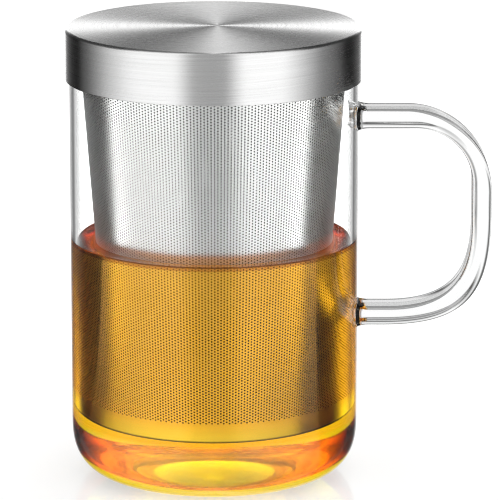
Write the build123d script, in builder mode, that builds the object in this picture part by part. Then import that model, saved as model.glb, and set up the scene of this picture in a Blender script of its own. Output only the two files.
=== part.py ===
"""Glass tea mug with a lift-out strainer basket and a lift-off steel lid.

Millimetres, +Z up. The origin is on the mug's axis, at the underside of its base. The handle
points along +X. The basket hangs by its collar's flange on the mug's rim, and the lid's
silicone seal rests on that flange, so the three lift apart along +Z.
"""

import os

from build123d import *

# ---------------------------------------------------------------- driving dimensions

# The glass cup
mug_diameter = 85.0
mug_height = 131.6
glass_wall = 1.85
glass_base = 2.4
base_corner_radius = 13.2
rim_rounding = 0.8

# The glass handle: a D bent from a solid flat rod, seen in the XZ plane
handle_reach = 39.5  # from the cup's side to the rod's outermost face
handle_top = 110.9  # upper face of the upper run
handle_bottom = 45.7  # lower face of the lower run
rod_upper = 5.8  # the rod's thickness in the upper run, the grip and the lower run
rod_grip = 5.7
rod_lower = 5.6
rod_width = 13.0  # across the D
rod_edge_radius = 2.0
upper_bend_outer = 24.9
upper_bend_inner = 16.8
lower_drop_outer = 33.0  # the lower bend's height and length, along the outer and inner face
lower_run_outer = 31.8
lower_drop_inner = 25.0
lower_run_inner = 25.0
lower_pull_outer = (0.76, 0.73)  # how far each end of the bend keeps straight, as a share
lower_pull_inner = (0.63, 0.79)
flare_length = 3.4  # where the rod's ends are melted onto the cup
flare_spread = 1.1
flare_tuck = 0.2  # how far the flare's tip dips into the rod
root_depth = 1.2  # how far the rod is drawn past the cup's side before it is cut to it

# The strainer basket, of steel sheet
basket_depth = 114.3  # from the mug's rim to the basket's underside
basket_bottom_diameter = 62.0
basket_neck_gap = 0.95  # radial, to the glass at the rim
basket_sheet = 0.35
floor_sheet = 0.5
floor_weld_gap = 0.05
floor_hole = 0.9
floor_pitch = 2.4
floor_ring_step = 6  # each ring of holes has this many more than the one inside it
floor_margin = 2.0
collar_height = 10.1
collar_sheet = 0.5
collar_bend = 0.5  # inside radius of the bend from the neck to the flange
flange_setback = 0.3  # from the cup's outside to the flange's edge

# The lid, of brushed steel with a pressed liner and a silicone seal
lid_sheet = 0.7
lid_side_gap = 0.56  # radial, between the cup and the lid's skirt
lid_skirt = 15.4
lid_edge_radius = 1.0
liner_depth = 8.1
liner_sheet = 0.5
liner_corner = 1.6
seal_thickness = 2.0  # between the basket's flange and the lid
seal_wall = 1.2
seal_lips = 2
seal_lip = 0.5
seal_lip_height = 1.2
seal_lip_pitch = 2.0
seal_running_gap = 0.3  # between the seal's lips and the basket's collar
seal_setback = 0.7  # from the basket flange's edge to the seal's edge

# ---------------------------------------------------------------- sizes that follow

mug_radius = mug_diameter / 2
bore_radius = mug_radius - glass_wall

basket_underside = mug_height - basket_depth
basket_bottom_radius = basket_bottom_diameter / 2
neck_radius = bore_radius - basket_neck_gap
basket_slope = (neck_radius - basket_bottom_radius) / basket_depth
collar_underside = mug_height - collar_height
flange_top = mug_height + collar_sheet
flange_radius = mug_radius - flange_setback


def basket_radius(height):
    """Outer radius of the basket's cone at a height above the table."""
    return basket_bottom_radius + basket_slope * (height - basket_underside)


lid_underside = flange_top + seal_thickness
lid_top = lid_underside + lid_sheet
skirt_radius = mug_radius + lid_side_gap
lid_radius = skirt_radius + lid_sheet
skirt_end = lid_top - lid_skirt
liner_underside = lid_underside - liner_depth

seal_end = liner_underside + liner_corner
lip_radius = basket_radius(seal_end) - collar_sheet - seal_running_gap
seal_leg_radius = lip_radius - seal_lip
liner_radius = seal_leg_radius - seal_wall
seal_flange_radius = flange_radius - seal_setback

grip_face = mug_radius + handle_reach
root_x = mug_radius - root_depth

# ---------------------------------------------------------------- glass

with BuildPart() as mug_body:
    with BuildSketch(Plane.XZ) as cup_profile:
        with BuildLine():
            Polyline(
                (0, 0),
                (mug_radius, 0),
                (mug_radius, mug_height),
                (bore_radius, mug_height),
                (bore_radius, glass_base),
                (0, glass_base),
                close=True,
            )
        make_face()
        cup_levels = cup_profile.vertices().group_by(Axis.Y)
        outer_foot = cup_levels[0].sort_by(Axis.X)[-1]
        inner_foot = cup_levels[1].sort_by(Axis.X)[-1]
        rim_corners = cup_levels[-1]
        fillet(outer_foot, base_corner_radius)
        fillet(inner_foot, base_corner_radius - glass_wall)
        fillet(rim_corners, rim_rounding)
    revolve(axis=Axis.Z)
mug_body.part.label = "mug_body"


def d_outline(side, top, bottom, bend, drop, run, pull):
    """The D that one face of the handle's rod follows, closed along the cup.

    The upper bend is a quarter circle. The lower one is a Bezier curve whose two ends keep
    straight for the given shares of its drop and of its run.
    """
    drop_share, run_share = pull
    bend_start = side - bend
    lower_start = bottom + drop
    lower_end = side - run
    with BuildSketch() as outline:
        with BuildLine():
            Line((root_x, bottom), (root_x, top))
            Line((root_x, top), (bend_start, top))
            CenterArc((bend_start, top - bend), bend, 90, -90)
            Line((side, top - bend), (side, lower_start))
            Bezier(
                (side, lower_start),
                (side, lower_start - drop_share * drop),
                (lower_end + run_share * run, bottom),
                (lower_end, bottom),
            )
            Line((lower_end, bottom), (root_x, bottom))
        make_face()
    return outline.sketch


upper_run_height = handle_top - rod_upper / 2
lower_run_height = handle_bottom + rod_lower / 2

with BuildPart() as mug_handle:
    with BuildSketch(Plane.XZ):
        add(
            d_outline(
                grip_face,
                handle_top,
                handle_bottom,
                upper_bend_outer,
                lower_drop_outer,
                lower_run_outer,
                lower_pull_outer,
            )
        )
        add(
            d_outline(
                grip_face - rod_grip,
                handle_top - rod_upper,
                handle_bottom + rod_lower,
                upper_bend_inner,
                lower_drop_inner,
                lower_run_inner,
                lower_pull_inner,
            ),
            mode=Mode.SUBTRACT,
        )
    extrude(amount=rod_width / 2, both=True)
    side_faces = mug_handle.faces().filter_by(Axis.Y)
    long_edges = side_faces.edges().filter_by(lambda edge: edge.center().X > mug_radius)
    fillet(long_edges, rod_edge_radius)
    for run_height, thickness in ((upper_run_height, rod_upper), (lower_run_height, rod_lower)):
        with BuildSketch(Plane.YZ.offset(root_x)):
            with Locations((0, run_height)):
                RectangleRounded(
                    rod_width + 2 * flare_spread,
                    thickness + 2 * flare_spread,
                    rod_edge_radius + flare_spread,
                )
        with BuildSketch(Plane.YZ.offset(mug_radius + flare_length)):
            with Locations((0, run_height)):
                RectangleRounded(
                    rod_width - 2 * flare_tuck,
                    thickness - 2 * flare_tuck,
                    rod_edge_radius - flare_tuck,
                )
        loft()
    Cylinder(
        mug_radius,
        mug_height,
        align=(Align.CENTER, Align.CENTER, Align.MIN),
        mode=Mode.SUBTRACT,
    )
mug_handle.part.label = "mug_handle"

# ---------------------------------------------------------------- strainer basket

with BuildPart() as basket_wall:
    with BuildSketch(Plane.XZ):
        with BuildLine():
            Polyline(
                (basket_bottom_radius, basket_underside),
                (basket_radius(collar_underside), collar_underside),
                (basket_radius(collar_underside) - basket_sheet, collar_underside),
                (basket_bottom_radius - basket_sheet, basket_underside),
                close=True,
            )
        make_face()
    revolve(axis=Axis.Z)
basket_wall.part.label = "basket_wall"

floor_radius = basket_bottom_radius - basket_sheet - floor_weld_gap
floor_rings = int((floor_radius - floor_margin) / floor_pitch)

with BuildPart() as basket_floor:
    with BuildSketch(Plane.XY.offset(basket_underside)):
        Circle(floor_radius)
        Circle(floor_hole / 2, mode=Mode.SUBTRACT)
        for ring in range(1, floor_rings + 1):
            with PolarLocations(ring * floor_pitch, floor_ring_step * ring):
                Circle(floor_hole / 2, mode=Mode.SUBTRACT)
    extrude(amount=floor_sheet)
basket_floor.part.label = "basket_floor"

with BuildPart() as basket_collar:
    with BuildSketch(Plane.XZ) as collar_profile:
        with BuildLine():
            Polyline(
                (basket_radius(collar_underside), collar_underside),
                (neck_radius, mug_height),
                (flange_radius, mug_height),
                (flange_radius, flange_top),
                (neck_radius - collar_sheet, flange_top),
                (basket_radius(collar_underside) - collar_sheet, collar_underside),
                close=True,
            )
        make_face()
        collar_levels = collar_profile.vertices().group_by(Axis.Y)
        bend_inside = collar_levels[1].sort_by(Axis.X)[0]
        bend_outside = collar_levels[2].sort_by(Axis.X)[0]
        fillet(bend_inside, collar_bend)
        fillet(bend_outside, collar_bend + collar_sheet)
    revolve(axis=Axis.Z)
basket_collar.part.label = "basket_collar"

# ---------------------------------------------------------------- lid

with BuildPart() as lid_shell:
    with BuildSketch(Plane.XZ) as shell_profile:
        with BuildLine():
            Polyline(
                (0, lid_underside),
                (skirt_radius, lid_underside),
                (skirt_radius, skirt_end),
                (lid_radius, skirt_end),
                (lid_radius, lid_top),
                (0, lid_top),
                close=True,
            )
        make_face()
        shell_levels = shell_profile.vertices().group_by(Axis.Y)
        inner_edge = shell_levels[1].sort_by(Axis.X)[-1]
        outer_edge = shell_levels[2].sort_by(Axis.X)[-1]
        fillet(inner_edge, lid_edge_radius - lid_sheet)
        fillet(outer_edge, lid_edge_radius)
    revolve(axis=Axis.Z)
lid_shell.part.label = "lid_shell"

with BuildPart() as lid_liner:
    with BuildSketch(Plane.XZ) as liner_profile:
        with BuildLine():
            Polyline(
                (0, liner_underside),
                (liner_radius, liner_underside),
                (liner_radius, lid_underside),
                (liner_radius - liner_sheet, lid_underside),
                (liner_radius - liner_sheet, liner_underside + liner_sheet),
                (0, liner_underside + liner_sheet),
                close=True,
            )
        make_face()
        liner_levels = liner_profile.vertices().group_by(Axis.Y)
        outer_corner = liner_levels[0].sort_by(Axis.X)[-1]
        inner_corner = liner_levels[1].sort_by(Axis.X)[-1]
        fillet(outer_corner, liner_corner)
        fillet(inner_corner, liner_corner - liner_sheet)
    revolve(axis=Axis.Z)
lid_liner.part.label = "lid_liner"

with BuildPart() as lid_seal:
    with BuildSketch(Plane.XZ):
        with BuildLine():
            Polyline(
                (liner_radius, seal_end),
                (seal_leg_radius, seal_end),
                (seal_leg_radius, flange_top),
                (seal_flange_radius, flange_top),
                (seal_flange_radius, lid_underside),
                (liner_radius, lid_underside),
                close=True,
            )
        make_face()
        for lip in range(seal_lips):
            lip_foot = seal_end + lip * seal_lip_pitch
            with BuildLine():
                Polyline(
                    (seal_leg_radius - seal_lip, lip_foot),
                    (seal_leg_radius, lip_foot),
                    (lip_radius, lip_foot + seal_lip_height / 2),
                    (seal_leg_radius, lip_foot + seal_lip_height),
                    (seal_leg_radius - seal_lip, lip_foot + seal_lip_height),
                    close=True,
                )
            make_face()
    revolve(axis=Axis.Z)
lid_seal.part.label = "lid_seal"

# ---------------------------------------------------------------- one file for each piece

os.makedirs("parts", exist_ok=True)
pieces = (
    mug_body,
    mug_handle,
    basket_wall,
    basket_floor,
    basket_collar,
    lid_shell,
    lid_liner,
    lid_seal,
)
for piece in pieces:
    export_step(piece.part, f"parts/{piece.part.label}.step")
    print(piece.part.label, round(piece.part.volume, 1), "mm3")
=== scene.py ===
# %% [markdown]
# # A glass tea mug with a steel strainer basket and a lift-off lid
#
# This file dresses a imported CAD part. The CAD part gives the size and the joints, and
# every piece here is worked out with numpy at the same place and size, so nothing has
# to be fitted afterwards. Lengths are written in millimetres, as on a maker's drawing,
# and are turned into metres in one place only.

import math

import bpy
import numpy as np
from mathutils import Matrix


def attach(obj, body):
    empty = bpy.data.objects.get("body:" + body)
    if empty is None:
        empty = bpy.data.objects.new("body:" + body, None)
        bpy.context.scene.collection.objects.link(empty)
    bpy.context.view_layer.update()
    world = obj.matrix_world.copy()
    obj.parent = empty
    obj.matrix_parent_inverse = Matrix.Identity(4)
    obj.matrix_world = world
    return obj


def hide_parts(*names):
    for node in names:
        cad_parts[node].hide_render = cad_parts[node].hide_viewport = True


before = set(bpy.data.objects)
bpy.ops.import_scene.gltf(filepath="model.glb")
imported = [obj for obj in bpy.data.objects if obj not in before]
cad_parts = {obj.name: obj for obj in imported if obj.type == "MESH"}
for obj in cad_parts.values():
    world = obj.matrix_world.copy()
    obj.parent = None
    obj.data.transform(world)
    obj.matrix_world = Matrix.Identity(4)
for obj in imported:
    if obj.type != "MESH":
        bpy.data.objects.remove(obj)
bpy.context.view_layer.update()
MM = 0.001

# %% [markdown]
# ## Sizes
#
# A maker's drawing starts with a few sizes that everything else follows from. They are
# the same ones that the solids are built from: the straight cup, the cone of the basket
# that hangs in it, and the lid that caps both.

# %% Sizes of the mug, the basket and the lid
MUG_RADIUS, MUG_HEIGHT = 42.5, 131.6
GLASS_WALL, GLASS_BASE, RIM_RADIUS = 1.85, 2.4, 0.8
BORE = MUG_RADIUS - GLASS_WALL

NECK_PLAY = 0.95
BASKET_FOOT, BASKET_FOOT_RADIUS, BASKET_SHEET = 17.3, 31.0, 0.35
NECK_RADIUS, COLLAR_FOOT, COLLAR_SHEET = BORE - NECK_PLAY, 121.5, 0.5
BASKET_SLOPE = (NECK_RADIUS - BASKET_FOOT_RADIUS) / (MUG_HEIGHT - BASKET_FOOT)


def basket_radius(height):
    """Outer radius of the cone: foot radius + slope x (height - foot height)."""
    return BASKET_FOOT_RADIUS + BASKET_SLOPE * (height - BASKET_FOOT)


SEAL_HEIGHT, LID_SHEET, SKIRT_PLAY, SKIRT_HEIGHT = 2.0, 0.7, 0.56, 15.4
FLANGE_TOP = MUG_HEIGHT + COLLAR_SHEET
LID_UNDER = FLANGE_TOP + SEAL_HEIGHT
LID_TOP = FLANGE_TOP + SEAL_HEIGHT + LID_SHEET
SKIRT_IN, SKIRT_END = MUG_RADIUS + SKIRT_PLAY, LID_TOP - SKIRT_HEIGHT
LID_RADIUS = MUG_RADIUS + SKIRT_PLAY + LID_SHEET
print("lid top at", round(LID_TOP, 2), "mm, basket neck radius", round(NECK_RADIUS, 2))

# %% [markdown]
# ## The camera
#
# A long lens from a little over a metre away, tipped 13 degrees down, keeps the mug's
# sides nearly parallel, as product pictures do. The lens follows from the distance:
# the narrower the view, the flatter the object looks. Light that ends in the basket
# behind glass and tea has crossed many faces, so the limits on its bounces are raised.

# %% Camera
CAMERA_TIP = 13.126
camera_data = bpy.data.cameras.new("camera")
camera_data.lens = 309.3
camera_data.clip_start, camera_data.clip_end = 0.1, 20.0
camera = bpy.data.objects.new("camera", camera_data)
camera.location = (0.010645, -1.24237, 0.35702)
camera.rotation_euler = (math.radians(90 - CAMERA_TIP), 0, 0)
scene = bpy.context.scene
scene.collection.objects.link(camera)
scene.camera = camera
scene.view_settings.view_transform = "Standard"
scene.cycles.filter_width = 1.1
scene.cycles.max_bounces = 28
scene.cycles.glossy_bounces = 14
scene.cycles.transmission_bounces = 24
print("camera lens", camera_data.lens, "mm")

# %% [markdown]
# ## Small helpers for shader nodes
#
# A shader is a graph. Writing it in Python gets long unless one helper adds a node, sets
# its properties and fills or links its sockets in one call. The others are made with it:
# sums on numbers and vectors, a change of range, a mix of two colours and a ramp.


# %% Node helpers
def add_node(tree, kind, inputs=None, **settings):
    """Adds a node of that kind; each input takes a plain value or another node's output."""
    made = tree.nodes.new(kind)
    for name, value in settings.items():
        setattr(made, name, value)
    for name, value in (inputs or {}).items():
        if isinstance(value, bpy.types.NodeSocket):
            tree.links.new(value, made.inputs[name])
        else:
            made.inputs[name].default_value = value
    return made


def maths(tree, operation, *values):
    """Output of a Math node that works on one, two or three values."""
    node = add_node(tree, "ShaderNodeMath", dict(enumerate(values)), operation=operation)
    return node.outputs[0]


def product(tree, *values):
    """All of the values multiplied, one Math node after the other."""
    total = values[0]
    for value in values[1:]:
        total = maths(tree, "MULTIPLY", total, value)
    return total


def vector_maths(tree, operation, *values):
    """Output of a Vector Math node: a number for LENGTH and DOT_PRODUCT, else a vector."""
    node = add_node(tree, "ShaderNodeVectorMath", dict(enumerate(values)), operation=operation)
    return node.outputs["Value" if operation in ("LENGTH", "DOT_PRODUCT") else "Vector"]


def spread(tree, value, low, high, to_low=0.0, to_high=1.0, smooth=False):
    """Carries value from the range low..high to the range to_low..to_high, clamped."""
    return add_node(
        tree,
        "ShaderNodeMapRange",
        {0: value, 1: low, 2: high, 3: to_low, 4: to_high},
        interpolation_type="SMOOTHSTEP" if smooth else "LINEAR",
    ).outputs[0]


def grey(level):
    """A grey of that level, as a colour."""
    return (level, level, level, 1)


def blend_colours(tree, factor, first, second):
    """Output of a colour Mix node: first where factor is 0, second where it is 1."""
    node = add_node(tree, "ShaderNodeMix", {0: factor, 6: first, 7: second}, data_type="RGBA")
    return node.outputs[2]


def ramp(tree, value, stops, interpolation="LINEAR"):
    """A grey ramp: stops are (position, level) pairs."""
    node = add_node(tree, "ShaderNodeValToRGB", {0: value})
    node.color_ramp.interpolation = interpolation
    elements = node.color_ramp.elements
    while len(elements) < len(stops):
        elements.new(0.5)
    for element, (position, level) in zip(elements, stops):
        element.position = position
        element.color = grey(level)
    return node.outputs[0]


# %% Helpers for places and directions
def object_place(tree):
    """The place on the object, in metres, as a vector."""
    return add_node(tree, "ShaderNodeTexCoord").outputs["Object"]


def components(tree, vector):
    """The three parts of a vector: to the right, away from the camera, up."""
    return tuple(add_node(tree, "ShaderNodeSeparateXYZ", {0: vector}).outputs)


def azimuth(tree, right, away):
    """The angle round Z, atan2(right, -away), as 0..1: 0.5 is the camera's side."""
    angle = maths(tree, "ARCTAN2", right, maths(tree, "MULTIPLY", away, -1.0))
    return spread(tree, angle, -math.pi, math.pi)


# %% [markdown]
# ## The studio
#
# Brushed steel and glass have hardly any colour of their own: they look like what stands
# around them. A product studio therefore surrounds them with a white sweep, two wide
# soft panels in front at the left and the right, a strip overhead, and black cards in
# between that draw the dark edges. Here all of that is one world: a function of the
# direction that a ray leaves in.
#
# What flatters steel spoils glass, so a product studio lights them one after the other
# and joins the results. The world does so in one go, because Light Path tells what a ray
# has been through: whether it was mirrored or only passed on, and how many faces it has
# crossed. All other rays see a plain white room, so a matt colour renders as it is
# written.

# %% World and its directions
world = bpy.data.worlds.new("studio")
world.use_nodes = True
scene.world = world
world.cycles.sampling_method = "NONE"
tree = world.node_tree
tree.nodes.clear()
right, away, up = components(tree, add_node(tree, "ShaderNodeTexCoord").outputs["Generated"])
sideways = maths(tree, "ABSOLUTE", right)
at_back = spread(tree, away, -0.35, -0.1, smooth=True)
upwards = spread(tree, up, 0.0, 1.0)
light_path = add_node(tree, "ShaderNodeLightPath").outputs
crossings = light_path["Transmission Depth"]
print("direction and ray nodes:", len(tree.nodes))

# %% [markdown]
# ## Panels and cards round the mug
#
# Each list goes once round the mug. It starts behind it, passes its left side, the
# camera at 0 degrees and its right side, and gives the brightness at each corner. A ramp
# holds levels up to 1, so PEAK, the most that a panel gives, divides them all and comes
# back as the strength of the background. The other levels are written as shares of PEAK.

# %% Rings of panels
PEAK = 5.2
around = azimuth(tree, right, away)


def by_azimuth(levels):
    """A grey ramp over the azimuth in degrees, 0 towards the camera, + to its right."""
    return ramp(tree, around, [((a + 180) / 360, v / PEAK) for a, v in levels])


bare_panels = by_azimuth(
    [
        (-180, 1.7), (-177.5, 1.7), (-175.5, 1.8), (-166, 1.6), (-161, 0.25), (-150, 0.1),
        (-142, 0.03), (-127, 0.01), (-123, 0.09), (-112, 0.2), (-100, 0.46), (-88, 0.84),
        (-72, 1.2), (-60, 1.32), (-30, 1.32), (-16, 0.5), (10, 0.46), (24, 1.35),
        (56, 1.4), (72, 0.92), (92, 0.34), (118, 0.08), (123, 0.02), (136, 0.02),
        (150, 0.12), (160, 0.3), (165, 2.4), (175.5, 2.7), (177.5, 1.9), (180, 1.7),
    ]
)
pale_panels = by_azimuth(
    [
        (-180, 1.2), (-168, 0.5), (-163, 0.25), (-157, 0.2), (-151, 0.9), (-145, 1.0),
        (-138, 0.4), (-130, 0.03), (-112, 0.03), (-100, 0.3), (-72, 0.9), (-30, 1.0),
        (-14, 0.5), (12, 0.5), (28, 1.0), (88, 1.0), (100, 0.05), (130, 0.03),
        (138, 0.4), (145, 1.0), (151, 0.9), (155, 0.2), (160, 0.25), (166, 0.5),
        (180, 1.2),
    ]
)
basket_panels = by_azimuth(
    [
        (-180, 0.4), (-170, 0.1), (-150, 0.0), (-111, 0.0), (-109, 2.2), (-104, 1.6),
        (-30, 1.5), (-14, 0.66), (12, 0.66), (28, 1.5), (90, 1.6), (93, 2.2),
        (95, 0.0), (140, 0.0), (150, 0.6), (165, 0.6), (180, 0.4),
    ]
)
print("rings of panels: bare steel, glass, basket")

# %% [markdown]
# ## What bare steel and the glass's skin mirror
#
# Bare steel sees the ring of panels. The lid's top also sees a narrow strip overhead
# towards the back, which the spun surface spreads into its two fans, and a dark flag low
# behind it. The outer skin of the glass mirrors like nothing else here, without any
# roughness, which Light Path calls a singular ray. Its reflections are held down to a
# quarter, and nearly to nothing above the horizon behind, so the glass stays clear.

# %% Bare surfaces
overhead_stops = [(0.0, 0.28), (0.015, 0.25), (0.045, 0.025), (0.2, 0.01), (1.0, 0.006)]
overhead = ramp(tree, sideways, overhead_stops, "EASE")
flag = spread(tree, sideways, 0.03, 0.06, 0.85, 0.0)
flag = product(tree, flag, at_back, spread(tree, up, 0.06, 0.14))
high_up = product(tree, spread(tree, up, 0.22, 0.3, smooth=True), at_back)
bare = blend_colours(tree, flag, bare_panels, grey(0.0))
bare = blend_colours(tree, high_up, bare, overhead)
above_horizon = product(tree, spread(tree, up, 0.1, 0.15), at_back)
held_down = spread(tree, above_horizon, 0.0, 1.0, 0.75, 1.0)
glass_skin = product(tree, light_path["Is Singular Ray"], held_down)
bare = blend_colours(tree, glass_skin, bare, grey(0.02))
print("nodes with the bare surfaces:", len(tree.nodes))

# %% [markdown]
# ## Sorting the rays by what they have crossed
#
# One or two crossings are the wall of the cup or the handle, three to six reach the
# basket behind glass or tea, and more than six are light that the tea's skin has thrown
# back inside. What is mirrored and what is only seen through the glass are sorted apart.
# Through one pane the room is white, but low, high and wide behind it is dark, and those
# parts draw the dark lines along the sides of the cup and the handle. Through both panes
# the room is white near the level and dark high up, and through tea it is one grey.

# %% Mirrored and seen through
IN_WALL, AT_BASKET, IN_TEA, AT_TEA_SKIN = 0.5, 2.5, 4.5, 6.5


def by_crossings(shown, *later):
    """The first colour, and from each number of crossings on, the one that comes with it."""
    for number, colour in later:
        shown = blend_colours(tree, maths(tree, "GREATER_THAN", crossings, number), shown, colour)
    return shown


in_wall = blend_colours(tree, spread(tree, up, 0.35, 0.6), pale_panels, grey(0.06))
thrown_back = ramp(tree, upwards, [(0.0, 0.08), (0.25, 0.16), (0.4, 0.36), (0.55, 0.85)])
mirrored = by_crossings(
    bare, (IN_WALL, in_wall), (AT_BASKET, basket_panels), (AT_TEA_SKIN, thrown_back)
)

wide = ramp(tree, sideways, [(0.16, 0), (0.32, 1), (0.46, 1), (0.54, 0)])
low_or_high = ramp(
    tree,
    spread(tree, up, -1.0, 1.0),
    [(0.25, 0), (0.28, 0.6), (0.32, 0.6), (0.35, 0), (0.575, 0), (0.675, 1)],
)
dark_behind = product(tree, maths(tree, "MAXIMUM", wide, low_or_high), at_back)
one_pane = spread(tree, dark_behind, 0.0, 1.0, 0.205, 0.025)
both_panes = ramp(tree, upwards, [(0.0, 0.49), (0.3, 0.49), (0.6, 0.06), (1.0, 0.06)], "EASE")
seen_through = by_crossings(one_pane, (AT_BASKET, both_panes), (IN_TEA, grey(0.22)))
print("nodes with the sorted rays:", len(tree.nodes))

# %% Background
ONCE = 0.5
polished = maths(tree, "GREATER_THAN", light_path["Glossy Depth"], ONCE)
undiffused = maths(tree, "LESS_THAN", light_path["Diffuse Depth"], ONCE)
through = product(tree, light_path["Is Transmission Ray"], undiffused)
shown = blend_colours(tree, through, grey(1 / PEAK), seen_through)
shown = blend_colours(tree, polished, shown, mirrored)
background = add_node(tree, "ShaderNodeBackground", {"Color": shown, "Strength": PEAK})
add_node(tree, "ShaderNodeOutputWorld", {"Surface": background.outputs[0]})
print("studio nodes:", len(tree.nodes))

# %% [markdown]
# ## The floor
#
# A pale, slightly glossy table top. It keeps the mug's soft shadow and a faint mirror
# image of its sides. A little light of its own, for camera rays only, brings it up to
# the white of the room. Polished surfaces and glass don't see it, because the world
# already holds what they should show from below.


# %% Floor
def flat_square(name, half, level, material):
    """A square of four points, half its side from the axis, at that height in metres."""
    mesh = bpy.data.meshes.new(name)
    corners = [(half * x, half * y, level) for x, y in ((-1, -1), (1, -1), (1, 1), (-1, 1))]
    mesh.from_pydata(corners, [], [(0, 1, 2, 3)])
    mesh.materials.append(material)
    made = bpy.data.objects.new(name, mesh)
    scene.collection.objects.link(made)
    return made


FLOOR_HALF, FLOOR_GLOW = 6, 0.5
floor_material = bpy.data.materials.new("table_top")
floor_material.use_nodes = True
tree = floor_material.node_tree
surface = tree.nodes["Principled BSDF"]
surface.inputs["Roughness"].default_value = 0.12
surface.inputs["IOR"].default_value = 1.4
mottle = add_node(tree, "ShaderNodeTexNoise", {"Vector": object_place(tree), "Scale": 9.0})
paint = blend_colours(tree, mottle.outputs[0], (0.66, 0.655, 0.65, 1), (0.68, 0.675, 0.67, 1))
tree.links.new(paint, surface.inputs["Base Color"])
surface.inputs["Emission Color"].default_value = grey(1)
camera_only = add_node(tree, "ShaderNodeLightPath").outputs["Is Camera Ray"]
tree.links.new(product(tree, camera_only, FLOOR_GLOW), surface.inputs["Emission Strength"])
floor = flat_square("floor", FLOOR_HALF, 0, floor_material)
floor.visible_glossy = False
floor.visible_transmission = False
print("floor", 2 * FLOOR_HALF, "m wide")

# %% [markdown]
# ## The cards on the table
#
# Behind the mug, at both sides, black cards lie on the white table. They give the basket
# its dark flanks, and because they lie flat, the edge between light and dark leans as it
# does on real steel. Only light that has met steel behind glass sees them. Here they are
# one sheet just under the table top, with the cards drawn on it: white in front of the
# cards' edge, black behind it, with one white gap at each side that reaches 0.2 m far.

# %% The cards' outline
CARD_LEAN_LEFT, CARD_LEAN_RIGHT = 0.104, 0.023
cards_material = bpy.data.materials.new("white_table_black_cards")
cards_material.use_nodes = True
cards_material.cycles.emission_sampling = "NONE"
tree = cards_material.node_tree
tree.nodes.remove(tree.nodes["Principled BSDF"])
right, away = components(tree, object_place(tree))[:2]
leftward = maths(tree, "MAXIMUM", product(tree, right, -1.0), 0.0)
rightward = maths(tree, "MAXIMUM", right, 0.0)
lean = maths(
    tree, "MULTIPLY_ADD", leftward, CARD_LEAN_LEFT, product(tree, rightward, CARD_LEAN_RIGHT)
)
card_edge = maths(tree, "ADD", lean, spread(tree, right, -0.01, 0.01, 0.014, -0.022))
from_edge = maths(tree, "SUBTRACT", away, card_edge)
in_front = spread(tree, from_edge, -0.002, 0.002, 1.0, 0.0)
bearing = azimuth(tree, right, away)
gaps = ramp(
    tree,
    bearing,
    [(0, 1), (0.038, 1), (0.041, 0), (0.88, 0), (0.888, 0.84), (0.951, 0.84), (0.959, 0),
     (0.988, 0), (0.99, 1)],
)
in_gap = product(tree, gaps, spread(tree, away, 0.18, 0.22, 1.0, 0.0))
white = maths(tree, "MAXIMUM", in_front, in_gap)
print("cards' outline drawn")

# %% [markdown]
# ## The light on the table
#
# The table isn't evenly lit. Its front is brighter at the two sides than straight towards
# the camera, except close by, and towards the cards' edge it fades near the middle and
# gains further out. The gaps between the cards are lit most. Steel behind glass has
# three to six crossings, and only for such rays the sheet glows. To all others it is
# transparent.

# %% Cards
CARDS_HALF, CARDS_LEVEL, CARDS_STRENGTH = 2, -0.0002, 2.05
edge_level = spread(tree, maths(tree, "ADD", leftward, rightward), 0.09, 0.2, 0.5, 1.6)
at_edge = spread(tree, from_edge, -0.04, -0.02)
edge_light = maths(
    tree,
    "MULTIPLY_ADD",
    at_edge,
    spread(tree, edge_level, 0.5, 1.6, 0.0, 0.9),
    spread(tree, from_edge, -0.07, -0.01, 1.0, edge_level),
)
straight_on = ramp(tree, bearing, [(0, 0), (0.417, 0), (0.46, 1), (0.533, 1), (0.578, 0), (1, 0)])
front_light = spread(tree, straight_on, 0.0, 1.0, 0.78, 0.36)
close_by = product(tree, straight_on, spread(tree, away, -0.215, -0.19))
close_light = maths(tree, "MULTIPLY_ADD", close_by, 0.75, 1.0)
gap_light = maths(tree, "MULTIPLY_ADD", in_gap, 4.5, 1.0)
table_light = product(tree, front_light, close_light, edge_light, gap_light)
drawn = blend_colours(tree, white, grey(0.0), table_light)
light_path = add_node(tree, "ShaderNodeLightPath").outputs
met_steel = maths(tree, "GREATER_THAN", light_path["Glossy Depth"], ONCE)
through_glass = maths(tree, "COMPARE", light_path["Transmission Depth"], 4.5, 2.0)
behind_glass = product(tree, met_steel, through_glass)
glow = add_node(tree, "ShaderNodeEmission", {"Color": drawn, "Strength": CARDS_STRENGTH})
clear = add_node(tree, "ShaderNodeBsdfTransparent")
shading = add_node(
    tree, "ShaderNodeMixShader", {0: behind_glass, 1: clear.outputs[0], 2: glow.outputs[0]}
)
tree.links.new(shading.outputs[0], tree.nodes["Material Output"].inputs["Surface"])
cards = flat_square("cards", CARDS_HALF, CARDS_LEVEL, cards_material)
cards.visible_camera = cards.visible_diffuse = cards.visible_shadow = False
print("card sheet nodes:", len(tree.nodes))

# %% [markdown]
# ## Surfaces from profiles
#
# Nearly everything on this object was turned, spun or blown, so it is a profile carried
# round an axis. A profile is a list of corners, each with the radius of its rounding,
# and the revolve turns all of its points at once as one numpy array. A short hold point
# beside each arc keeps the shading of the flat beside it clean.


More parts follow.
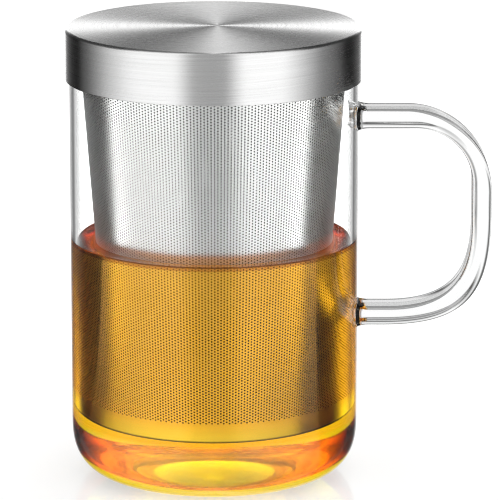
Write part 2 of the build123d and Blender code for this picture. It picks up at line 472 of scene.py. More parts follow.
# %% Profile helper
def rounded(corners, steps=12, closed=False, hold=0.12):
    """Points along straight lines with arcs at the corners.

    A corner at p with sides along unit vectors u and v, at the angle t to each other,
    and the rounding r gets an arc about p + (u + v)/|u + v| x r / sin(t/2), from
    p + u r / tan(t/2) to p + v r / tan(t/2).
    """
    corners = np.array(corners, float)
    points = []
    for k, (x, y, radius) in enumerate(corners):
        p = np.array([x, y])
        if radius == 0 or (not closed and k in (0, len(corners) - 1)):
            points.append(p[None])
            continue
        u = corners[k - 1, :2] - p
        v = corners[(k + 1) % len(corners), :2] - p
        room_u, room_v = np.linalg.norm(u), np.linalg.norm(v)
        u, v = u / room_u, v / room_v
        half = math.acos(np.clip(u @ v, -1, 1)) / 2
        reach = radius / math.tan(half)
        centre = p + (u + v) / np.linalg.norm(u + v) * radius / math.sin(half)
        sweep = math.pi - 2 * half
        t = np.linspace(0, sweep, steps + 1)[:, None]
        first, last = p + u * reach - centre, p + v * reach - centre
        arc = centre + (np.sin(sweep - t) * first + np.sin(t) * last) / math.sin(sweep)
        before = p + u * min(reach + hold, room_u * 0.98)
        after = p + v * min(reach + hold, room_v * 0.98)
        points.append(np.vstack([before, arc, after]))
    return np.vstack(points)


# %% Mesh helpers
def build(name, points, quads, triangles=None, sharp=40):
    """Makes a mesh object from arrays of points (mm) and of corner numbers."""
    triangles = np.zeros((0, 3), int) if triangles is None else triangles
    corners = np.concatenate([quads.ravel(), triangles.ravel()]).astype(np.int32)
    starts = np.concatenate(
        [np.arange(len(quads)) * 4, len(quads) * 4 + np.arange(len(triangles)) * 3]
    )
    mesh = bpy.data.meshes.new(name)
    mesh.vertices.add(len(points))
    mesh.vertices.foreach_set("co", (np.asarray(points) * MM).astype(np.float32).ravel())
    mesh.loops.add(len(corners))
    mesh.loops.foreach_set("vertex_index", corners)
    mesh.polygons.add(len(starts))
    mesh.polygons.foreach_set("loop_start", starts.astype(np.int32))
    mesh.update(calc_edges=True)
    mesh.validate()
    mesh.shade_smooth()
    mesh.set_sharp_from_angle(angle=math.radians(sharp))
    made = bpy.data.objects.new(name, mesh)
    scene.collection.objects.link(made)
    print(f"{name}: {len(quads) * 2 + len(triangles)} triangles")
    return made


def quads_between(low, high):
    """Quads that join each loop of point numbers in low to its neighbour in high."""
    sides = [low, np.roll(low, -1, -1), np.roll(high, -1, -1), high]
    return np.stack(sides, axis=-1).reshape(-1, 4)


def end_fans(start, end, first):
    """Triangles from the points first and first + 1 to the first and the last loop."""
    return np.concatenate(
        [
            np.stack([0 * start + first, np.roll(start, -1), start], axis=-1),
            np.stack([end, np.roll(end, -1), 0 * end + first + 1], axis=-1),
        ]
    )


def revolve(name, profile, columns=288, closed=False, sharp=40):
    """Carries a profile of (r, z) points round the Z axis.

    Point = (r cos a, r sin a, z) for each angle a. The profile runs with the solid on its
    left. An open one starts and ends on the axis, and each end there is one point.
    """
    ring = profile if closed else profile[1:-1]
    a = np.arange(columns) * 2 * math.pi / columns
    r, z = ring[:, :1], ring[:, 1:]
    points = np.stack([r * np.cos(a), r * np.sin(a), z + 0 * a], axis=-1).reshape(-1, 3)
    number = np.arange(len(points)).reshape(len(ring), columns)
    if closed:
        return build(name, points, quads_between(number, np.roll(number, -1, axis=0)), sharp=sharp)
    ends = np.array([[0, 0, profile[0, 1]], [0, 0, profile[-1, 1]]])
    fans = end_fans(number[0], number[-1], len(points))
    quads = quads_between(number[:-1], number[1:])
    return build(name, np.vstack([points, ends]), quads, fans, sharp)


# %% [markdown]
# ## Node groups that several finishes share
#
# Every steel piece was worked in the lathe or between rollers, so its scratches run
# level round the axis: on a flat top that makes rings, and on an upright wall it makes
# level lines. One coordinate does both, the distance from the axis plus the height,
# because one of the two is constant on each face. Noise that is squeezed along that
# coordinate and long along the other ones is the grain. A second noise is the broad
# unevenness of handling marks.


# %% Steel grain group
def new_group(name, inputs, outputs):
    """A shader node group with named float inputs (and their values) and outputs."""
    group = bpy.data.node_groups.new(name, "ShaderNodeTree")
    for label, value in inputs.items():
        socket = group.interface.new_socket(label, in_out="INPUT", socket_type="NodeSocketFloat")
        socket.default_value = value
    for label in outputs:
        group.interface.new_socket(label, in_out="OUTPUT", socket_type="NodeSocketFloat")
    return group, add_node(group, "NodeGroupInput").outputs, add_node(group, "NodeGroupOutput")


def noise(tree, vector, scale, detail, roughness=0.5):
    """Value of a noise texture."""
    sockets = {"Vector": vector, "Scale": scale, "Detail": detail, "Roughness": roughness}
    return add_node(tree, "ShaderNodeTexNoise", sockets).outputs[0]


steel_grain, given, result = new_group(
    "steel_grain",
    {"Lines per metre": 2500.0, "Run": 30.0, "Cloud scale": 45.0, "Centre": 0.0},
    ["Grain", "Cloud"],
)
tree = steel_grain
centre = add_node(tree, "ShaderNodeCombineXYZ", {0: given["Centre"], 1: given["Centre"]})
from_centre = vector_maths(tree, "SUBTRACT", object_place(tree), centre.outputs[0])
x, y, z = components(tree, from_centre)
squares = maths(tree, "ADD", maths(tree, "POWER", x, 2.0), maths(tree, "POWER", y, 2.0))
radius = maths(tree, "SQRT", squares)
level = product(tree, maths(tree, "ADD", radius, z), given["Lines per metre"])
runs = {0: product(tree, x, given["Run"]), 1: product(tree, y, given["Run"]), 2: level}
along = add_node(tree, "ShaderNodeCombineXYZ", runs).outputs[0]
grain = noise(tree, along, 1.0, 3.0, 0.65)
cloud = noise(tree, from_centre, given["Cloud scale"], 3.0)
tree.links.new(spread(tree, grain, 0.3, 0.7), result.inputs["Grain"])
tree.links.new(spread(tree, cloud, 0.35, 0.65), result.inputs["Cloud"])
print("group steel_grain with", len(tree.nodes), "nodes")

# %% [markdown]
# ## Steel finishes
#
# All of the steel is the same alloy. What differs is the working: the lid's top is spun
# against an abrasive, which spreads its reflections outwards and draws the bright fans,
# and its skirt is brushed level. That is what anisotropy stands for. Turned by a quarter,
# it stretches the highlight across the scratches. The basket's sheet is rolled and left
# satin, and the collar and liner are pressed.


# %% Steel helper
def off_axis(tree):
    """The place on the object with its height left out, as a vector from the axis."""
    return vector_maths(tree, "MULTIPLY", object_place(tree), (1, 1, 0))


def add_crown(tree, raised, crown):
    """A shallow dome under the grain: height = -crown x (distance from the axis)^2."""
    flat = off_axis(tree)
    height = product(tree, vector_maths(tree, "DOT_PRODUCT", flat, flat), -crown)
    dome = add_node(tree, "ShaderNodeBump", {"Height": height, "Strength": 1.0, "Distance": 1.0})
    tree.links.new(dome.outputs[0], raised.inputs["Normal"])


def brush_level(tree, surface, anisotropy, centre):
    """Stretches the highlight across the scratches: their tangent is up x spoke."""
    surface.inputs["Anisotropic"].default_value = anisotropy
    surface.inputs["Anisotropic Rotation"].default_value = 0.25
    spoke = vector_maths(tree, "SUBTRACT", object_place(tree), (centre, centre, 0))
    tangent = vector_maths(tree, "CROSS_PRODUCT", (0, 0, 1), spoke)
    tree.links.new(tangent, surface.inputs["Tangent"])


def steel(name, lines, run, colours, roughness, bump, anisotropy=0.0, centre=0.0, crown=0.0,
          worn=0.03):
    """A steel finish: grain and clouds vary its colour, its roughness and its bump."""
    made = bpy.data.materials.new(name)
    made.use_nodes = True
    tree = made.node_tree
    surface = tree.nodes["Principled BSDF"]
    surface.inputs["Metallic"].default_value = 1.0
    values = {"Lines per metre": lines, "Run": run, "Centre": centre}
    grain, cloud = add_node(tree, "ShaderNodeGroup", values, node_tree=steel_grain).outputs
    colour = blend_colours(tree, grain, colours[0], colours[1])
    darker = blend_colours(tree, spread(tree, cloud, 0, 1, 0.0, 0.35), colour, colours[2])
    tree.links.new(darker, surface.inputs["Base Color"])
    brushed, handled = spread(tree, grain, 0, 1, *roughness), spread(tree, cloud, 0, 1, 0.0, worn)
    tree.links.new(maths(tree, "ADD", brushed, handled), surface.inputs["Roughness"])
    relief = {"Height": grain, "Strength": bump, "Distance": 0.00002}
    raised = add_node(tree, "ShaderNodeBump", relief)
    tree.links.new(raised.outputs[0], surface.inputs["Normal"])
    if crown:
        add_crown(tree, raised, crown)
    if anisotropy:
        brush_level(tree, surface, anisotropy, centre)
    return made


# %% [markdown]
# ## The three steels
#
# Each steel takes three colours: its grain's dark and light, and the clouds'. The basket's holes
# are open and their walls are real faces, a few tenths of a millimetre deep. The basket's colour
# also carries painted shade: it goes nearly black with the depth below the cone's outer face, so
# the hole walls and the whole inner face of the sheet stand dark, as the shade inside the closed
# basket. A band of painted shade also darkens the foot of the wall, just above the floor.

# %% Steel materials
lid_steel = steel(
    "lid_brushed_steel", 1800, 22, [grey(0.65), grey(0.82), (0.72, 0.72, 0.71, 1)],
    (0.23, 0.29), 0.25, 0.95, centre=0.001, crown=0.5,
)
pressed_steel = steel(
    "pressed_steel", 1500, 12,
    [(0.68, 0.68, 0.67, 1), (0.76, 0.76, 0.75, 1), (0.66, 0.66, 0.64, 1)], (0.2, 0.28), 0.12,
)
basket_steel = steel(
    "basket_rolled_steel", 900, 8,
    [(0.76, 0.76, 0.75, 1), (0.8, 0.8, 0.79, 1), (0.74, 0.74, 0.72, 1)],
    (0.2745, 0.278), 0.05, worn=0.004,
)
# Painted shade: a band at the wall's foot, dark up to 0.3 mm and gone by 0.7 mm above the floor,
# and the near black that all painted shade on the basket takes.
FOOT_SHADE_FROM, FOOT_SHADE_TO, FOOT_SHADE_DARK, PAINTED_SHADE_BLACK = 0.3, 0.7, 0.9, (0.05, 0.045, 0.04, 1)
tree = basket_steel.node_tree
surface = tree.nodes["Principled BSDF"]
height = components(tree, object_place(tree))[2]
radius = vector_maths(tree, "LENGTH", off_axis(tree))
cone_at_floor = (BASKET_FOOT_RADIUS - BASKET_SLOPE * BASKET_FOOT) * MM
cone = maths(tree, "MULTIPLY_ADD", height, BASKET_SLOPE, cone_at_floor)
# Painted shade: from 0.03 to 0.1 mm below the cone's outer face the colour goes nearly black, on
# the hole walls and on the whole inner face.
hole_shade = spread(tree, maths(tree, "SUBTRACT", cone, radius), 0.00003, 0.0001)
foot_shade_low, foot_shade_high = (BASKET_FOOT + FOOT_SHADE_FROM) * MM, (BASKET_FOOT + FOOT_SHADE_TO) * MM
# Painted shade: a dark band along the foot of the wall, just above the floor.
foot_shade = spread(tree, height, foot_shade_low, foot_shade_high, FOOT_SHADE_DARK, 0.0)
worked_colour = surface.inputs["Base Color"].links[0].from_socket
dark = maths(tree, "MAXIMUM", hole_shade, foot_shade)
with_painted_shade = blend_colours(tree, dark, worked_colour, PAINTED_SHADE_BLACK)
tree.links.new(with_painted_shade, surface.inputs["Base Color"])
print("steel finishes:", lid_steel.name, basket_steel.name, pressed_steel.name)

# %% [markdown]
# ## Glass, tea and silicone
#
# Borosilicate glass is clear, and what gives it away as blown and flame-worked is a very
# shallow unevenness of its surface, which bends what is seen through it. Tea is water
# with a dye: the longer the way through it, the deeper the colour, which is exactly what
# a volume that absorbs does. The seal is milky silicone, which lets a little light in.


# %% Unevenness group
def plain_surface(name, values):
    """A material whose shader gets these constant values on its own sockets."""
    made = bpy.data.materials.new(name)
    made.use_nodes = True
    surface = made.node_tree.nodes["Principled BSDF"]
    for socket, value in values.items():
        surface.inputs[socket].default_value = value
    return made, made.node_tree, surface


unevenness, given, result = new_group(
    "unevenness", {"Waves per metre": 60.0, "Stretch": 0.35}, ["Height", "Patch"]
)
tree = unevenness
place = object_place(tree)
x, y, z = components(tree, place)
stretched = {0: x, 1: y, 2: product(tree, z, given["Stretch"])}
stretched = add_node(tree, "ShaderNodeCombineXYZ", stretched).outputs[0]
wave = noise(tree, stretched, given["Waves per metre"], 1.0)
patch = noise(tree, place, 25.0, 2.0)
tree.links.new(wave, result.inputs["Height"])
tree.links.new(spread(tree, patch, 0.35, 0.65), result.inputs["Patch"])
print("group unevenness with", len(tree.nodes), "nodes")


def uneven(tree, surface, waves, stretch, strength, colours):
    """Gives a surface its shallow waves and a slight change of tint from patch to patch."""
    values = {"Waves per metre": waves, "Stretch": stretch}
    height, patch = add_node(tree, "ShaderNodeGroup", values, node_tree=unevenness).outputs
    relief = {"Height": height, "Strength": strength, "Distance": 0.00005}
    tree.links.new(add_node(tree, "ShaderNodeBump", relief).outputs[0], surface.inputs["Normal"])
    tree.links.new(blend_colours(tree, patch, *colours), surface.inputs["Base Color"])


# %% [markdown]
# ## The tea's tint, painted light at its base and painted shade at its top
#
# Most of the tea's colour comes from the dye in it. Its skin adds a little orange on the side.
# Under the basket the base is left untinted, which is painted light: it shows the tea there
# brighter and yellower, as if the light passed straight down. The top of the tea, most of all
# where it climbs the glass and the basket, gets painted shade, a darker reddish ring.

# %% Clear and soft materials
glass, tree, surface = plain_surface(
    "borosilicate_glass",
    {"Transmission Weight": 1.0, "Roughness": 0.0, "IOR": 1.473, "Specular IOR Level": 0.2},
)
uneven(tree, surface, 55.0, 0.4, 0.3, [(0.985, 0.993, 0.99, 1), (0.995, 0.998, 0.997, 1)])

LIT_BASE, SHADED_WATER_LINE = (0.0165, 0.0185), (0.0702, 0.0706)
tea_liquid, tree, surface = plain_surface(
    "tea", {"Transmission Weight": 1.0, "Roughness": 0.0, "IOR": 1.333}
)
uneven(tree, surface, 30.0, 1.0, 0.1, [(0.99, 0.51, 0.13, 1), (1.0, 0.55, 0.17, 1)])
height = components(tree, object_place(tree))[2]
skin = surface.inputs["Base Color"].links[0].from_socket
# Painted light: below 16.5 to 18.5 mm the skin is left white, so the base shows brighter and
# yellower.
skin_with_painted_light_and_shade = blend_colours(tree, spread(tree, height, *LIT_BASE), grey(1), skin)
# Painted shade: above 70.2 to 70.6 mm the skin turns a darker red, over the tea's top and its
# climb up the walls.
skin_with_painted_light_and_shade = blend_colours(tree, spread(tree, height, *SHADED_WATER_LINE), skin_with_painted_light_and_shade, (0.54, 0.17, 0.05, 1))
tree.links.new(skin_with_painted_light_and_shade, surface.inputs["Base Color"])
dye = {"Color": (0.9954, 0.958, 0.0, 1), "Density": 130.0}
dye = add_node(tree, "ShaderNodeVolumeAbsorption", dye).outputs[0]
tree.links.new(dye, tree.nodes["Material Output"].inputs["Volume"])

silicone, tree, surface = plain_surface(
    "milky_silicone",
    {"Roughness": 0.45, "IOR": 1.41, "Subsurface Weight": 0.3, "Subsurface Scale": 0.002},
)
uneven(tree, surface, 400.0, 1.0, 0.4, [(0.82, 0.83, 0.82, 1), (0.88, 0.89, 0.88, 1)])
print("clear and soft materials:", glass.name, tea_liquid.name, silicone.name)


# %% [markdown]
# ## The cup
#
# The cup is a tube of glass with a rounded foot and a rim melted smooth. Its profile runs
# from the axis along the underside, up the outside, over the rim and back down the
# inside. A blown foot has no seam where its curve starts, so it is a superellipse, whose
# bend grows from nothing, and not a plain arc. Many columns keep the bright and dark
# lines at the cup's sides free of steps.


# %% Cup
FOOT_POWER, FOOT_REACH, RIM_PART = 2.68, 17.0, 5
INNER_REACH = FOOT_REACH - GLASS_BASE


def finish(piece, material, body, nodes=()):
    """Gives a piece its material and the body it moves with, and hides the CAD nodes it stands
    for.
    """
    piece.data.materials.clear()
    piece.data.materials.append(material)
    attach(piece, body)
    if nodes:
        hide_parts(*nodes)
    return piece


def soft_foot(radius, bottom, reach, steps=40):
    """Quarter of a superellipse from the level base to the upright wall.

    With n = FOOT_POWER: r = radius - reach + reach sin(t)^(2/n) and
    z = bottom + reach - reach cos(t)^(2/n). It starts without a jump in curvature.
    """
    t = np.linspace(0, math.pi / 2, steps)
    r = radius - reach + reach * np.sin(t) ** (2 / FOOT_POWER)
    z = bottom + reach - reach * np.clip(np.cos(t), 0, 1) ** (2 / FOOT_POWER)
    return np.stack([r, z], axis=-1)


rim = rounded(
    [
        (MUG_RADIUS, MUG_HEIGHT - RIM_PART, 0),
        (MUG_RADIUS, MUG_HEIGHT, RIM_RADIUS),
        (BORE, MUG_HEIGHT, RIM_RADIUS),
        (BORE, MUG_HEIGHT - RIM_PART, 0),
    ],
    steps=24,
)
outside = soft_foot(MUG_RADIUS, 0, FOOT_REACH)
inside = soft_foot(BORE, GLASS_BASE, INNER_REACH)[::-1]
cup = revolve("cup", np.vstack([[[0, 0]], outside, rim, inside, [[0, GLASS_BASE]]]))

# %% [markdown]
# ## The handle
#
# The handle is a solid, flat rod, bent over a former while it is soft. Its outer and its
# inner face each follow a line: a level run, a round bend, a straight grip, and a lower
# bend that opens slowly, as glass does when it sags back to the cup.


# %% Lines of the handle's two faces
def line(start, end, count):
    """Points from start to end: start + t (end - start)."""
    t = np.linspace(0, 1, count)[:, None]
    return np.array(start) + t * (np.array(end) - np.array(start))


def quarter(centre, radius, count):
    """A quarter circle from straight up to straight right: centre + r (sin t, cos t)."""
    t = np.linspace(0, math.pi / 2, count)[:, None]
    return np.array(centre) + radius * np.hstack([np.sin(t), np.cos(t)])


def bezier(a, b, c, d, count):
    """Cubic Bezier: (1-t)^3 a + 3 (1-t)^2 t b + 3 (1-t) t^2 c + t^3 d."""
    t = np.linspace(0, 1, count)[:, None]
    a, b, c, d = map(np.array, (a, b, c, d))
    return (1 - t) ** 3 * a + 3 * (1 - t) ** 2 * t * b + 3 * (1 - t) * t**2 * c + t**3 * d


def d_line(top, side, bend, bottom, drop, run, pull):
    """One face of the rod: level run, quarter bend, straight grip, lower bend, level run."""
    bend_x, bend_z, low_z, low_x = side - bend, top - bend, bottom + drop, side - run
    lower_pulls = (side, low_z - pull[0] * drop), (low_x + pull[1] * run, bottom)
    return np.vstack(
        [
            line((ROOT, top), (ROOT + NEAR_CUP, top), 15)[:-1],
            line((ROOT + NEAR_CUP, top), (bend_x, top), 8)[:-1],
            quarter((bend_x, bend_z), bend, 40)[:-1],
            line((side, bend_z), (side, low_z), 6)[:-1],
            bezier((side, low_z), *lower_pulls, (low_x, bottom), 56)[:-1],
            line((low_x, bottom), (ROOT + NEAR_CUP, bottom), 6)[:-1],
            line((ROOT + NEAR_CUP, bottom), (ROOT, bottom), 15),
        ]
    )


ROOT, NEAR_CUP = MUG_RADIUS - 1.2, 5
outer = d_line(110.9, 82.0, 24.9, 45.7, 33.0, 31.8, (0.76, 0.73))
inner = d_line(105.1, 76.3, 16.8, 51.3, 25.0, 25.0, (0.63, 0.79))
print("stations along the rod:", len(outer))

# %% [markdown]
# ## The rod between the two lines
#
# At each station the rod's centre is the middle of the two lines' points, its thickness
# is the distance between them, and its section is a rounded rectangle. Points a little
# way out on each flat, before and after every corner, keep the flats flat in the shading,
# because glass shows the slightest false bend. Near the cup the rod swells into a flare,
# where it was melted on, and its ends bend round the cup.

# %% Handle
ROD_WIDTH, ROD_EDGE, CORNER_STEPS, CORNER_HOLD = 13.0, 2.0, 11, 0.15
FLARE, FLARE_LENGTH, FLARE_FILL, WRAP_LENGTH = 1.1, 3.4, 0.98, 6
centre = (outer + inner) / 2
across = outer - inner
thickness = np.linalg.norm(across, axis=1)
across = across / thickness[:, None]
near = np.clip(1 - (centre[:, 0] - MUG_RADIUS) / FLARE_LENGTH, 0, 1)
swell = FLARE * (1 - np.sqrt(1 - near**2 * FLARE_FILL))
half_t, half_w, edge = thickness / 2 + swell, ROD_WIDTH / 2 + swell, (ROD_EDGE + swell)[:, None]

q = np.concatenate([[0], np.linspace(0, math.pi / 2, CORNER_STEPS), [math.pi / 2]])
hold = CORNER_HOLD * np.tile([-1] + [0] * CORNER_STEPS + [1], 4)
turns = np.concatenate([q + k * math.pi / 2 for k in range(4)])
side_t, side_w = np.repeat([1, -1, -1, 1], len(q)), np.repeat([1, 1, -1, -1], len(q))
t_off = side_t * (half_t[:, None] - edge) + edge * np.cos(turns) - hold * np.sin(turns)
w_off = side_w * (half_w[:, None] - edge) + edge * np.sin(turns) + hold * np.cos(turns)
x, z = (centre[:, k : k + 1] + across[:, k : k + 1] * t_off for k in (0, 1))
wrap = np.clip(1 - (centre[:, :1] - MUG_RADIUS) / WRAP_LENGTH, 0, 1)
x = x - wrap * (MUG_RADIUS - np.sqrt(MUG_RADIUS**2 - w_off**2))
rod = np.stack([x, w_off, z], axis=-1)

number = np.arange(x.size).reshape(x.shape)
rod_quads = quads_between(number[:-1], number[1:])[:, [0, 3, 2, 1]]
rod_fans = end_fans(number[0], number[-1], x.size)[:, [0, 2, 1]]
rod_points = np.vstack([rod.reshape(-1, 3), rod[0].mean(0), rod[-1].mean(0)])
handle = build("handle", rod_points, rod_quads, rod_fans)

# %% [markdown]
# ## Melting the handle on
#
# On the real mug there is no joint inside the glass: rod and cup are one body. Two meshes
# that overlap would show a false surface inside, because light bends at every face it
# meets. So the two are united into one closed skin. The volumes tell whether that went
# well, and a negative one would be a piece turned inside out, which glass can't hide.


# %% Unite cup and handle
def volume_of(mesh):
    """Signed volume, the sum over triangles of a . (b x c) / 6, in cubic metres.

    It is positive where the faces point outwards.
    """
    mesh.calc_loop_triangles()
    co = np.zeros(len(mesh.vertices) * 3, np.float32)
    mesh.vertices.foreach_get("co", co)
    tri = np.zeros(len(mesh.loop_triangles) * 3, np.int32)
    mesh.loop_triangles.foreach_get("vertices", tri)
    a, b, c = co.reshape(-1, 3)[tri.reshape(-1, 3)].transpose(1, 0, 2).astype(float)
    return float((a * np.cross(b, c)).sum() / 6)


ML, CUBIC_MM = 1e6, 1e9
for piece in (cup, handle):
    print(piece.name, "ml:", round(volume_of(piece.data) * ML, 2))
union = cup.modifiers.new("union", "BOOLEAN")
union.operation, union.solver, union.object = "UNION", "MANIFOLD", handle
evaluated = cup.evaluated_get(bpy.context.evaluated_depsgraph_get())
fused = bpy.data.meshes.new_from_object(evaluated)
cup.modifiers.clear()
cup.data = fused
cup.name = "glass_mug"
fused.name = "glass_mug"
bpy.data.objects.remove(handle)
fused.set_sharp_from_angle(angle=math.radians(40))
finish(cup, glass, "mug", ["mug_body", "mug_handle"])
print("glass ml:", round(volume_of(fused) * ML, 2), "faces:", len(fused.polygons))

# %% [markdown]
# ## The tea
#
# The tea fills the cup up to a little above its middle. Its skin lies a tenth of a
# millimetre inside the glass, because a gap of air would mirror the light and a shared
# face would flicker. Water climbs a wall that it wets: the surface rises towards the
# glass and the basket as height x exp(-distance / reach). The points of its surface lie
# close together only where it bends.

# %% Tea
TEA_LEVEL, INTO_GLASS = 70.3, 0.1
CLIMB_GLASS, REACH_GLASS, CLIMB_STEEL, REACH_STEEL = 1.5, 1.9, 0.8, 1.2
tea_side, tea_bottom = BORE + INTO_GLASS, GLASS_BASE - INTO_GLASS
near_glass, near_basket = np.linspace(tea_side, 37.5, 26), np.linspace(37.4, 32.0, 46)
r = np.concatenate([near_glass, near_basket, np.linspace(31.5, 0, 12)])
on_basket = basket_radius(TEA_LEVEL)
outside_steel, inside_steel = r - on_basket, np.clip(on_basket - BASKET_SHEET - r, 0, None)
from_steel = np.where(r > on_basket, outside_steel, inside_steel)
from_glass = np.clip(BORE - r, 0, None)
climb = CLIMB_GLASS * np.exp(-from_glass / REACH_GLASS)
surface_z = TEA_LEVEL + climb + CLIMB_STEEL * np.exp(-from_steel / REACH_STEEL)
tea_profile = np.vstack(
    [
        [[0, tea_bottom]],
        soft_foot(tea_side, tea_bottom, INNER_REACH + INTO_GLASS),
        [[tea_side, surface_z[0] - 0.05]],
        np.stack([r, surface_z], axis=-1),
    ]
)
tea = revolve("tea", tea_profile, sharp=60)
finish(tea, tea_liquid, "mug")
print("tea ml:", round(volume_of(tea.data) * ML, 1))

# %% [markdown]
# ## The basket's perforated wall
#
# The wall is a cone rolled from sheet that was etched with thousands of fine holes:
# 248 columns round the cone, each shifted by half a step against its neighbours, so the
# holes stand in a close triangular pattern. Each hole sits in its own cell. A cell has
# six points round its edge, four corners and the middles of its two upright sides, where
# the shifted neighbours' corners are, and the hole has six points too, so six quads join
# the two on each face of the sheet and six more line the hole. A hole narrows inwards, as
# one that was etched from outside does. Two columns at the back have no holes: the seam.
# All cells are worked out at once as arrays. The cone is built as eight staves, so no
# piece gets too heavy.

# %% Pattern of the holes
COLUMNS, ROWS, STAVES, HOLE, HOLE_INSIDE = 248, 114, 8, 0.56, 0.18
HOLES_FROM, HOLES_TO = 22.9, COLLAR_FOOT
STEP = (HOLES_TO - HOLES_FROM) / (ROWS + 0.5)
HEXAGON = np.radians([240, 180, 120, 60, 0, 300])
SEAM_COLUMNS = (0, 1)
print(f"{COLUMNS} columns of {ROWS} holes, {STEP:.3f} mm apart")


def on_cone(angle, height, inwards=0.0):
    """Point on the cone: ((R - d) cos a, (R - d) sin a, z) with R the cone's radius at z."""
    radius = basket_radius(height) - inwards
    parts = (radius * np.cos(angle), radius * np.sin(angle), height + 0 * angle)
    return np.stack(np.broadcast_arrays(*parts), axis=-1)


# %% One stave of the wall
def stave(index):
    """One eighth of the basket's wall, as a closed sheet with all of its holes."""
    wide = COLUMNS // STAVES
    columns = np.arange(wide) + index * wide
    seam = np.isin(columns, SEAM_COLUMNS)
    edge_angles = math.pi / 2 + (np.arange(wide + 1) + index * wide - 1) * 2 * math.pi / COLUMNS
    heights = np.concatenate([[BASKET_FOOT], HOLES_FROM + np.arange(2 * ROWS + 2) * STEP / 2])
    face = [on_cone(edge_angles[:, None], heights[None], d) for d in (0.0, BASKET_SHEET)]
    count = face[0].shape[0] * face[0].shape[1]
    grid = np.arange(count).reshape(wide + 1, len(heights))

    holed = np.flatnonzero(~seam)
    first = 1 + 2 * np.arange(ROWS)[None] + (columns[holed] % 2)[:, None]
    left, right = holed[:, None], holed[:, None] + 1
    around = np.stack(
        [grid[left, first], grid[left, first + 1], grid[left, first + 2],
         grid[right, first + 2], grid[right, first + 1], grid[right, first]],
        axis=-1,
    )
    middle_angle = (edge_angles[holed] + math.pi / COLUMNS)[:, None, None]
    middle_height = heights[first + 1][:, :, None]
    rims = []
    for inwards, across in ((0.0, HOLE), (BASKET_SHEET, HOLE_INSIDE)):
        rim_height = middle_height + across / 2 * np.sin(HEXAGON)
        rim_angle = middle_angle + across / 2 * np.cos(HEXAGON) / basket_radius(rim_height)
        rims.append(on_cone(rim_angle, rim_height, inwards))
    rim_out = 2 * count + np.arange(around.size).reshape(around.shape)
    rim_in = rim_out + around.size
    points = np.vstack([p.reshape(-1, 3) for p in (*face, *rims)])

    def ring(a, b):
        """Quads that join two loops of six points, from a to b."""
        return np.stack([a, b, np.roll(b, -1, -1), np.roll(a, -1, -1)], axis=-1).reshape(-1, 4)

    def sheet_quad(x0, y0, x1, y1):
        """Plain quads on the outer face and on the inner face, turned the other way."""
        corners = grid[x0, y0], grid[x1, y0], grid[x1, y1], grid[x0, y1]
        out = np.stack(np.broadcast_arrays(*corners), axis=-1).reshape(-1, 4)
        return [out, out[:, ::-1] + count]

    def edge_quads(path, turned):
        """Quads over the sheet's thickness, along one line of the grid."""
        over = np.stack([path[:-1], path[1:], path[1:] + count, path[:-1] + count], axis=-1)
        return over[:, ::-1] if turned else over

    every, top = np.arange(wide), len(heights) - 1
    even, odd = holed[columns[holed] % 2 == 0], holed[columns[holed] % 2 == 1]
    quads = [ring(around, rim_out), ring(rim_in, around + count), ring(rim_out, rim_in)]
    quads += sheet_quad(every, 0 * every, every + 1, 0 * every + 1)
    quads += sheet_quad(even, 0 * even + top - 1, even + 1, 0 * even + top)
    quads += sheet_quad(odd, 0 * odd + 1, odd + 1, 0 * odd + 2)
    if seam.any():
        plain, step = np.flatnonzero(seam)[:, None], np.arange(1, top)[None]
        quads += sheet_quad(plain, step, plain + 1, step + 1)
    quads += [edge_quads(grid[:, top], False), edge_quads(grid[:, 0], True)]
    quads += [edge_quads(grid[0], False), edge_quads(grid[wide], True)]
    return points, np.concatenate(quads)


for index in range(STAVES):
    piece = build(f"basket_wall_{index + 1}", *stave(index), sharp=35)
    finish(piece, basket_steel, "infuser", ["basket_wall"])
print("last stave, mm3:", round(volume_of(piece.data) * CUBIC_MM, 1))

# %% [markdown]
# ## The basket's floor and collar
#
# The floor is a flat disc with rings of larger holes. The solid has exactly that shape,
# so it stays and only gets its finish. The collar is pressed: a plain neck that is bent
# outwards into the flange which hangs on the mug's rim.

# %% Basket floor and collar
floor_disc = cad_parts["basket_floor"]
floor_disc.data.materials.clear()
floor_disc.data.materials.append(pressed_steel)

neck_foot, flange_edge = basket_radius(COLLAR_FOOT), MUG_RADIUS - 0.3
collar_profile = rounded(
    [
        (neck_foot, COLLAR_FOOT, 0.08),
        (NECK_RADIUS, MUG_HEIGHT, 0.5),
        (flange_edge, MUG_HEIGHT, 0.12),
        (flange_edge, FLANGE_TOP, 0.12),
        (NECK_RADIUS - COLLAR_SHEET, FLANGE_TOP, 1.0),
        (neck_foot - COLLAR_SHEET, COLLAR_FOOT, 0.08),
    ],
    steps=8,
    closed=True,
    hold=0.05,
)
collar = revolve("basket_collar_ring", collar_profile, closed=True)
finish(collar, pressed_steel, "infuser", ["basket_collar"])
print("collar, mm3:", round(volume_of(collar.data) * CUBIC_MM, 1))

# %% [markdown]
# ## The lid's cap and pan
#
# The lid's cap is spun from one sheet, with a skirt that comes down over the rim. A
# pressed pan is welded under it and reaches down into the basket's neck. Only the cap
# shows until the lid is lifted.

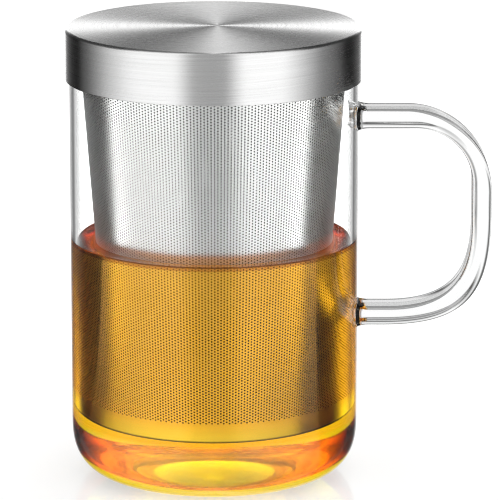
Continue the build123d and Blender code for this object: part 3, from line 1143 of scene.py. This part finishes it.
# %% Lid cap and pan
cap_profile = rounded(
    [
        (0, LID_UNDER, 0),
        (SKIRT_IN, LID_UNDER, 0.3),
        (SKIRT_IN, SKIRT_END, 0.15),
        (LID_RADIUS, SKIRT_END, 0.2),
        (LID_RADIUS, LID_TOP, 1.0),
        (0, LID_TOP, 0),
    ],
    steps=14,
    hold=0.08,
)
cap = revolve("lid_cap", cap_profile, columns=360)
finish(cap, lid_steel, "lid", ["lid_shell"])

PAN_DEPTH, PAN_SHEET = 8.1, 0.5
SEAL_FROM, LIP_GAP, LIP_REACH, SEAL_SHEET = 1.6, 0.3, 0.5, 1.2
pan_under = LID_UNDER - PAN_DEPTH
seal_end = pan_under + SEAL_FROM
lip_out = basket_radius(seal_end) - COLLAR_SHEET - LIP_GAP
leg_out = lip_out - LIP_REACH
pan_out = leg_out - SEAL_SHEET
pan_profile = rounded(
    [
        (0, pan_under, 0),
        (pan_out, pan_under, 1.6),
        (pan_out, LID_UNDER, 0),
        (pan_out - PAN_SHEET, LID_UNDER, 0),
        (pan_out - PAN_SHEET, pan_under + PAN_SHEET, 1.1),
        (0, pan_under + PAN_SHEET, 0),
    ]
)
pan = revolve("lid_pan", pan_profile)
finish(pan, pressed_steel, "lid", ["lid_liner"])

# %% [markdown]
# ## The lid's seal
#
# A milky ring of silicone sits round the pan. Its two lips lean upwards and outwards, so
# they fold as the lid goes in and hold it as it is pulled, and its flange is the cushion
# on which the lid rests. A profile with slanted lips and one revolve make it.

# %% Lid seal
LIP_PITCH, LIP_TIP, LIP_TOP, FLANGE_INSET = 2.0, 0.6, 1.2, 0.7
seal_corners = [(pan_out, seal_end, 0), (leg_out, seal_end, 0)]
for lip in (seal_end, seal_end + LIP_PITCH):
    seal_corners += [(lip_out, lip + LIP_TIP, 0.15), (leg_out, lip + LIP_TOP, 0.1)]
    if lip == seal_end:
        seal_corners.append((leg_out, lip + LIP_PITCH, 0.1))
flange_out = flange_edge - FLANGE_INSET
seal_corners += [
    (leg_out, FLANGE_TOP, 0.3),
    (flange_out, FLANGE_TOP, 0.3),
    (flange_out, LID_UNDER, 0),
    (pan_out, LID_UNDER, 0),
]
seal_profile = rounded(seal_corners, steps=6, closed=True, hold=0.03)
seal = revolve("seal_ring", seal_profile, closed=True)
finish(seal, silicone, "lid", ["lid_seal"])
for piece in (cap, pan, seal):
    print(piece.name, "mm3:", round(volume_of(piece.data) * CUBIC_MM, 1))
